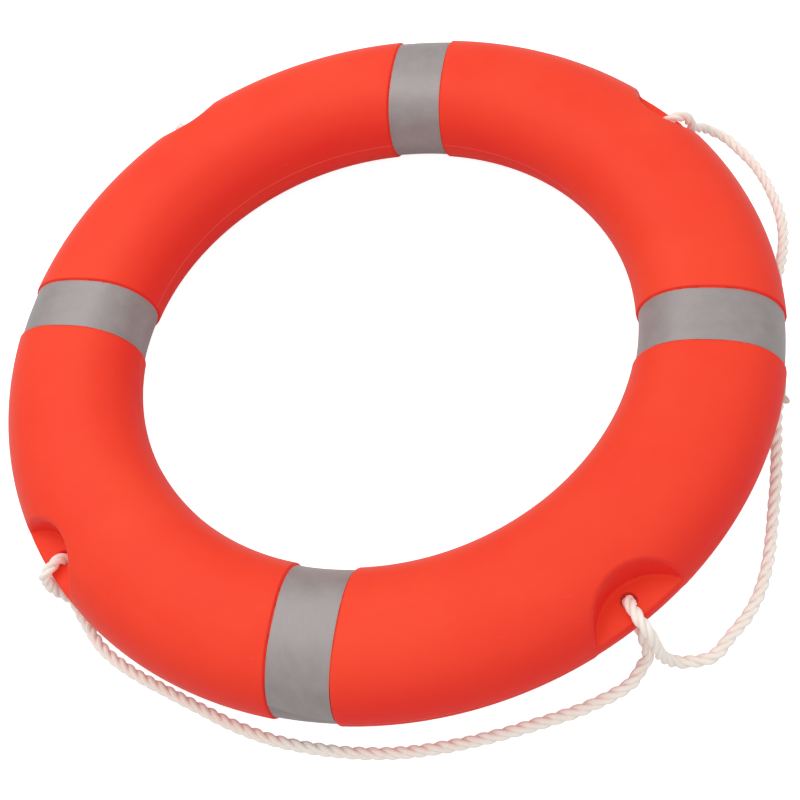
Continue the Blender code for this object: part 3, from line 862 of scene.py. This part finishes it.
def line_tail(name, foot, mat):
    """The free end of the join, a tapered stub pointing outward below the whipping
    and to the front."""
    offset, way = np.array((0.0012, 0.0030, 0.0)), np.array((0.82, -0.57, 0.0))
    # (distance along, radius)
    stations = ((-0.0020, 0.0022), (0.0, 0.0034), (0.0020, 0.0038), (0.0040, 0.0037),
                (0.0060, 0.0033), (0.0078, 0.0026), (0.0092, 0.0015), (0.0098, 0.0004))
    points = np.array([foot + offset + reach * way for reach, _ in stations])
    sides, others, _ = line_frames(points)
    around = 2 * np.pi * np.arange(20) / 20
    rows = [point + radius * (np.cos(around)[:, None] * side + np.sin(around)[:, None] * other)
            for point, (_, radius), side, other in zip(points, stations, sides, others)]
    return add_object(name, closed_tube(name, rows), mat)


def build_join(mat):
    right = smooth_path(span_path("right"), 0.001)
    held = right[(right[:, 1] > WHIP_FROM) & (right[:, 1] < WHIP_TO)]
    attach(coil("line_whipping", held, mat), "line_right", "grab_line_sleeve")
    foot = held[np.argmin(held[:, 1])]
    attach(line_tail("line_tail", foot, mat), "line_right")


# ---------------------------------------------------------------- materials
class Nodes:
    """A short way to write a node material."""

    def __init__(self, name):
        self.mat = bpy.data.materials.new(name)
        self.mat.use_nodes = True
        self.tree = self.mat.node_tree

    def add(self, kind, **values):
        node = self.tree.nodes.new(kind)
        for key, value in values.items():
            setattr(node, key, value)
        return node

    def put(self, socket, value):
        """Link a socket or set a value; None leaves the input alone."""
        if isinstance(value, bpy.types.NodeSocket):
            self.tree.links.new(value, socket)
        elif value is not None:
            socket.default_value = value

    def texture(self, kind, vector, inputs, **values):
        node = self.add(kind, **values)
        self.put(node.inputs["Vector"], vector)
        for key, value in inputs.items():
            node.inputs[key].default_value = value
        return node.outputs

    def noise(self, vector, scale, detail, rough, distortion=0.0):
        return self.texture("ShaderNodeTexNoise", vector, {
            "Scale": scale, "Detail": detail, "Roughness": rough,
            "Distortion": distortion})["Fac"]

    def bands(self, vector, direction):
        return self.texture("ShaderNodeTexWave", vector, {"Scale": 260.0, "Distortion": 1.0},
                            wave_type="BANDS", bands_direction=direction)["Fac"]

    def stretched(self, vector, scale):
        return self.texture("ShaderNodeMapping", vector, {"Scale": scale})["Vector"]

    def remap(self, value, over, to=(0.0, 1.0)):
        """Map the range over onto the range to, clamped."""
        node = self.add("ShaderNodeMapRange")
        self.put(node.inputs["Value"], value)
        for key, number in zip(("From Min", "From Max", "To Min", "To Max"), (*over, *to)):
            node.inputs[key].default_value = number
        return node.outputs["Result"]

    def math(self, kind, a, b=None):
        node = self.add("ShaderNodeMath", operation=kind)
        self.put(node.inputs[0], a)
        self.put(node.inputs[1], b)
        return node.outputs[0]

    def mix(self, amount, under, over):
        node = self.add("ShaderNodeMix", data_type="RGBA", blend_type="MIX")
        self.put(node.inputs["Factor"], amount)
        for place, colour in ((6, under), (7, over)):
            is_socket = isinstance(colour, bpy.types.NodeSocket)
            self.put(node.inputs[place], colour if is_socket else (*colour, 1.0))
        return node.outputs[2]

    def bump(self, height, strength, distance, below=None):
        node = self.add("ShaderNodeBump")
        node.inputs["Strength"].default_value = strength
        node.inputs["Distance"].default_value = distance
        self.put(node.inputs["Height"], height)
        self.put(node.inputs["Normal"], below)
        return node.outputs["Normal"]

    def position(self):
        return self.add("ShaderNodeTexCoord").outputs["Object"]

    def uv(self, name):
        return self.add("ShaderNodeUVMap", uv_map=name).outputs["UV"]

    def attribute(self, name):
        return self.add("ShaderNodeAttribute", attribute_name=name).outputs["Fac"]

    def finish(self, colour, rough, normal, **others):
        """Feed the surface shader; others are its inputs, _ standing for a space."""
        inputs = self.tree.nodes["Principled BSDF"].inputs
        self.put(inputs["Base Color"], colour)
        self.put(inputs["Roughness"], rough)
        self.put(inputs["Normal"], normal)
        for key, value in others.items():
            self.put(inputs[key.replace("_", " ")], value)
        return self.mat


def scaled(colour, factors):
    return tuple(c * k for c, k in zip(colour, factors))


def shell_material(name, main, deep):
    """Moulded plastic with painted light: faces turned up and back left, toward the key light,
    are painted yellower and lighter, and faces turned away are painted darker and redder as
    painted shade.
    """
    n = Nodes(name)
    place = n.position()
    cloud = n.noise(place, scale=9.0, detail=5.0, rough=0.6)
    pores = n.noise(place, scale=420.0, detail=3.0, rough=0.6)
    grain = n.noise(place, scale=1500.0, detail=2.0, rough=0.5)
    # painted light and shade: the colour follows how squarely a face turns toward the key
    # light, up and back left
    key_light_facing = n.add("ShaderNodeVectorMath", operation="DOT_PRODUCT")
    n.put(key_light_facing.inputs[0], n.add("ShaderNodeNewGeometry").outputs["Normal"])
    key_light_facing.inputs[1].default_value = (-0.45, 0.35, 0.82)
    painted_light_tone = n.mix(n.remap(key_light_facing.outputs["Value"], over=(-0.15, 0.70)),
                  under=scaled(main, (0.985, 0.50, 0.86)), over=main)
    colour = n.mix(n.remap(cloud, over=(0.35, 0.65), to=(0.75, 0.0)),
                   under=painted_light_tone, over=scaled(deep, (1.0, 0.85, 0.95)))
    colour = n.mix(n.remap(pores, over=(0.62, 0.80), to=(0.0, 0.10)),
                   under=colour, over=(1.0, 0.22, 0.12))
    # faint rubbing marks, long and thin
    rub = n.noise(n.stretched(place, (5.0, 60.0, 22.0)),
                  scale=9.0, detail=6.0, rough=0.65, distortion=0.6)
    marks = n.remap(rub, over=(0.66, 0.76), to=(0.0, 0.16))
    colour = n.mix(marks, under=colour, over=(1.0, 0.30, 0.20))
    rough = n.math("ADD", n.remap(cloud, over=(0.3, 0.7), to=(0.34, 0.42)),
                   n.math("ADD", n.remap(pores, over=(0.3, 0.7), to=(-0.02, 0.03)), marks))
    normal = n.bump(pores, strength=0.10, distance=0.00025)
    normal = n.bump(grain, strength=0.06, distance=0.00008, below=normal)
    normal = n.bump(n.noise(place, scale=26.0, detail=3.0, rough=0.5),
                    strength=0.10, distance=0.0012, below=normal)
    return n.finish(colour, rough, normal, IOR=1.50, Specular_IOR_Level=0.09,
                    Specular_Tint=(1.0, 0.72, 0.62, 1.0))


def tape_material(name):
    """Grey beaded cloth, pale at its cut edges, and darker towards its lapped end with painted
    shade.
    """
    n = Nodes(name)
    uv = n.uv("tape")
    across = n.attribute("across")
    beads = n.texture("ShaderNodeTexVoronoi", uv, {"Scale": 1900.0})["Distance"]
    cloud = n.noise(uv, scale=60.0, detail=5.0, rough=0.6)
    streak = n.noise(n.stretched(uv, (140.0, 14.0, 1.0)), scale=6.0, detail=4.0, rough=0.6)
    cloth = n.math("MULTIPLY", n.bands(uv, "X"), n.bands(uv, "Y"))
    colour = n.mix(n.remap(cloud, over=(0.3, 0.7)),
                   under=(0.336, 0.295, 0.291), over=(0.408, 0.362, 0.357))
    colour = n.mix(n.remap(streak, over=(0.55, 0.8), to=(0.0, 0.35)),
                   under=colour, over=(0.27, 0.25, 0.245))
    colour = n.mix(n.remap(beads, over=(0.1, 0.5), to=(0.0, 0.22)),
                   under=colour, over=(0.20, 0.19, 0.19))
    colour = n.mix(n.remap(across, over=(0.985, 0.998), to=(0.0, 0.8)),
                   under=colour, over=(0.50, 0.44, 0.40))
    # painted shade towards the tape's lapped end, where it faces down
    colour = n.mix(n.math("MULTIPLY", n.attribute("lap_shade"), b=0.45),
                   under=colour, over=(0.20, 0.185, 0.18))
    rough = n.remap(cloud, over=(0.3, 0.7), to=(0.42, 0.55))
    normal = n.bump(cloth, strength=0.12, distance=0.00010)
    normal = n.bump(beads, strength=0.15, distance=0.00005, below=normal)
    normal = n.bump(n.noise(uv, scale=38.0, detail=3.0, rough=0.5),
                    strength=0.25, distance=0.0006, below=normal)
    return n.finish(colour, rough, normal, Metallic=0.25, Sheen_Weight=0.25,
                    Sheen_Roughness=0.4)


def rope_material(name):
    """Laid rope: uv holds the angle round a strand and the run along the line,
    so that the yarns lie almost along the rope, as they do in laid rope."""
    light, shade, crease_shade = (0.98, 0.935, 0.875), (0.95, 0.87, 0.79), (0.80, 0.69, 0.57)
    yarns = 13                         # round one strand
    yarn_slant = 350.0                 # radians round the strand per metre of line
    n = Nodes(name)
    parts = n.add("ShaderNodeSeparateXYZ")
    n.put(parts.inputs[0], n.uv("rope"))
    angle, run = parts.outputs[0], parts.outputs[1]
    groove_shade = n.attribute("groove_shade")
    place = n.position()
    phase = n.math("ADD", angle, n.math("MULTIPLY", run, yarn_slant))
    wobble = n.remap(n.noise(place, scale=260.0, detail=2.0, rough=0.5),
                     over=(0.3, 0.7), to=(-0.03, 0.03))
    phase = n.math("ADD", phase, wobble)
    yarn = n.math("ABSOLUTE", n.math("SINE", n.math("MULTIPLY", phase, yarns / 2)))
    # fibres: noise drawn out along the yarns
    both = n.add("ShaderNodeCombineXYZ")
    n.put(both.inputs[0], n.math("MULTIPLY", phase, b=14.0))
    n.put(both.inputs[1], n.math("MULTIPLY", run, b=90.0))
    fibre = n.noise(both.outputs[0], scale=3.0, detail=5.0, rough=0.65)
    cloud = n.noise(place, scale=55.0, detail=4.0, rough=0.6)
    colour = n.mix(n.remap(cloud, over=(0.3, 0.7)), under=shade, over=light)
    colour = n.mix(n.remap(fibre, over=(0.35, 0.70), to=(0.0, 0.35)),
                   under=colour, over=shade)
    # painted shade: darker in the gaps between yarns, and below, in the grooves where strands
    # meet
    colour = n.mix(n.remap(yarn, over=(0.0, 0.45), to=(0.70, 0.0)),
                   under=colour, over=crease_shade)
    colour = n.mix(n.remap(groove_shade, over=(0.72, 1.0), to=(0.0, 0.48)),
                   under=colour, over=crease_shade)
    rough = n.remap(fibre, over=(0.3, 0.7), to=(0.62, 0.82))
    normal = n.bump(n.math("POWER", yarn, b=0.6), strength=0.55, distance=0.00035)
    normal = n.bump(fibre, strength=0.60, distance=0.00020, below=normal)
    # the emission is a painted glow: the rope lights itself a little, though it is no lamp
    return n.finish(colour, rough, normal, Emission_Color=colour, Emission_Strength=0.12,
                    Sheen_Weight=0.30, Sheen_Roughness=0.5)


def grained_material(name, under, over, scale, rough, bump):
    """Two clouded colours with a fine grain."""
    n = Nodes(name)
    place = n.position()
    cloud = n.noise(place, scale=scale, detail=5.0, rough=0.6)
    fine = n.noise(place, scale=scale * 14, detail=3.0, rough=0.6)
    colour = n.mix(n.remap(cloud, over=(0.3, 0.7)), under=under, over=over)
    normal = n.bump(fine, strength=0.4, distance=bump)
    return n.finish(colour, n.remap(fine, over=(0.3, 0.7), to=rough), normal)


def floor_material(name):
    """Pale and matt, and lit up only where the camera sees it directly."""
    n = Nodes(name)
    seen = n.add("ShaderNodeLightPath").outputs["Is Camera Ray"]
    return n.finish((0.74, 0.74, 0.74, 1.0), 0.9, None, Specular_IOR_Level=0.0,
                    Emission_Color=(1, 1, 1, 1),
                    Emission_Strength=n.math("MULTIPLY", seen, b=0.86))


ORANGE = shell_material("moulded_orange", main=(0.960, 0.073, 0.034),
                        deep=(0.930, 0.062, 0.029))
SEAM = grained_material("parting_orange", under=(0.95, 0.085, 0.045),
                        over=(0.93, 0.075, 0.040), scale=60.0, rough=(0.36, 0.46),
                        bump=0.0001)
TAPE = tape_material("glass_bead_tape")
ROPE = rope_material("laid_rope")
TWINE = grained_material("whipping_twine", under=(0.80, 0.72, 0.62),
                         over=(0.70, 0.61, 0.51), scale=400.0, rough=(0.7, 0.85),
                         bump=0.00012)
FOAM = grained_material("rigid_foam", under=(0.83, 0.72, 0.42), over=(0.76, 0.64, 0.36),
                        scale=300.0, rough=(0.85, 0.95), bump=0.0006)
PLUG = shell_material("plug_orange", main=(0.85, 0.052, 0.028), deep=(0.80, 0.045, 0.025))

# ---------------------------------------------------------------- pieces
# (name, degrees round the ring, radius)
PLUGS = (("filler_plug", -66.0, 0.0116), ("vent_plug", -56.0, 0.0046))
# (name, start, slope, overlap), each a quarter turn on from the last
TAPES = (("right", -112.0, 0.0, 24.0), ("back", -108.0, 0.06, 26.0),
         ("left", -115.0, -0.05, 24.0), ("front", 12.4, -0.368, 30.0))

set_material(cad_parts["foam_core"].data, FOAM)
for name, angle, radius in PLUGS:
    plug = inner_plug(f"{name}_face", math.radians(angle), radius, PLUG)
    attach(plug, "ring", name)
attach(build_shell(ORANGE), "ring", "shell")
for name, side in (("parting_line_outer", 1), ("parting_line_inner", -1)):
    attach(parting_line(name, side, SEAM), "ring")
for quarter, (name, start, slope, overlap) in enumerate(TAPES):
    strip = tape(f"tape_{name}", math.pi / 2 * quarter, start, slope, overlap, TAPE,
                 seed=quarter + 0.7)
    attach(strip, "ring", f"band_{name}")
build_rope(ROPE)
build_join(TWINE)


# ---------------------------------------------------------------- stage
def build_floor(half):
    mesh = bpy.data.meshes.new("floor")
    mesh.from_pydata([(-half, -half, 0), (half, -half, 0), (half, half, 0),
                      (-half, half, 0)], [], [(0, 1, 2, 3)])
    add_object("floor", mesh, floor_material("pale_floor"))


def area_light(name, location, size, power):
    """A square white light aimed at the origin."""
    data = bpy.data.lights.new(name, "AREA")
    data.shape = "SQUARE"
    data.size = size
    data.energy = power
    obj = bpy.data.objects.new(name, data)
    obj.location = location
    obj.rotation_euler = (-Vector(location)).to_track_quat("-Z", "Y").to_euler()
    bpy.context.scene.collection.objects.link(obj)


def build_world():
    """White surroundings, brighter overhead than near the horizon."""
    world = bpy.data.worlds.new("studio")
    bpy.context.scene.world = world
    world.use_nodes = True
    tree = world.node_tree
    back = tree.nodes["Background"]
    back.inputs["Color"].default_value = (1, 1, 1, 1)
    way = tree.nodes.new("ShaderNodeTexCoord")
    split = tree.nodes.new("ShaderNodeSeparateXYZ")
    tree.links.new(way.outputs["Generated"], split.inputs[0])
    height = tree.nodes.new("ShaderNodeMapRange")
    height.interpolation_type = "SMOOTHSTEP"
    tree.links.new(split.outputs["Z"], height.inputs["Value"])
    for key, value in (("From Min", 0.05), ("From Max", 0.85),
                       ("To Min", 0.45), ("To Max", 0.82)):
        height.inputs[key].default_value = value
    tree.links.new(height.outputs["Result"], back.inputs["Strength"])


def build_camera(location, azimuth, elevation, roll, lens):
    """A camera at the front, azimuth degrees to the right, looking down."""
    azimuth, elevation, roll = (math.radians(a) for a in (azimuth, elevation, roll))
    away = Vector((math.sin(azimuth) * math.cos(elevation),
                   -math.cos(azimuth) * math.cos(elevation), math.sin(elevation)))
    look = -away
    level = look.cross(Vector((0, 0, 1))).normalized()
    upper = level.cross(look)
    right = math.cos(roll) * level + math.sin(roll) * upper
    up = -math.sin(roll) * level + math.cos(roll) * upper
    data = bpy.data.cameras.new("camera")
    data.sensor_width = 36.0
    data.lens = lens
    data.clip_start = 0.02
    camera = bpy.data.objects.new("camera", data)
    turn = Matrix((right, up, away)).transposed().to_4x4()
    camera.matrix_world = Matrix.Translation(location) @ turn
    bpy.context.scene.collection.objects.link(camera)
    bpy.context.scene.camera = camera


build_floor(half=6)
area_light("key", location=(-0.9, 0.7, 2.3), size=1.9, power=21.0)
area_light("fill", location=(1.2, -1.6, 1.9), size=2.0, power=5.0)
build_world()
bpy.context.scene.view_settings.view_transform = "Standard"
bpy.context.scene.view_settings.look = "None"
build_camera(location=(0.293155, -0.573808, 0.930336), azimuth=27.413714,
             elevation=57.085817, roll=-21.426087, lens=53.898)
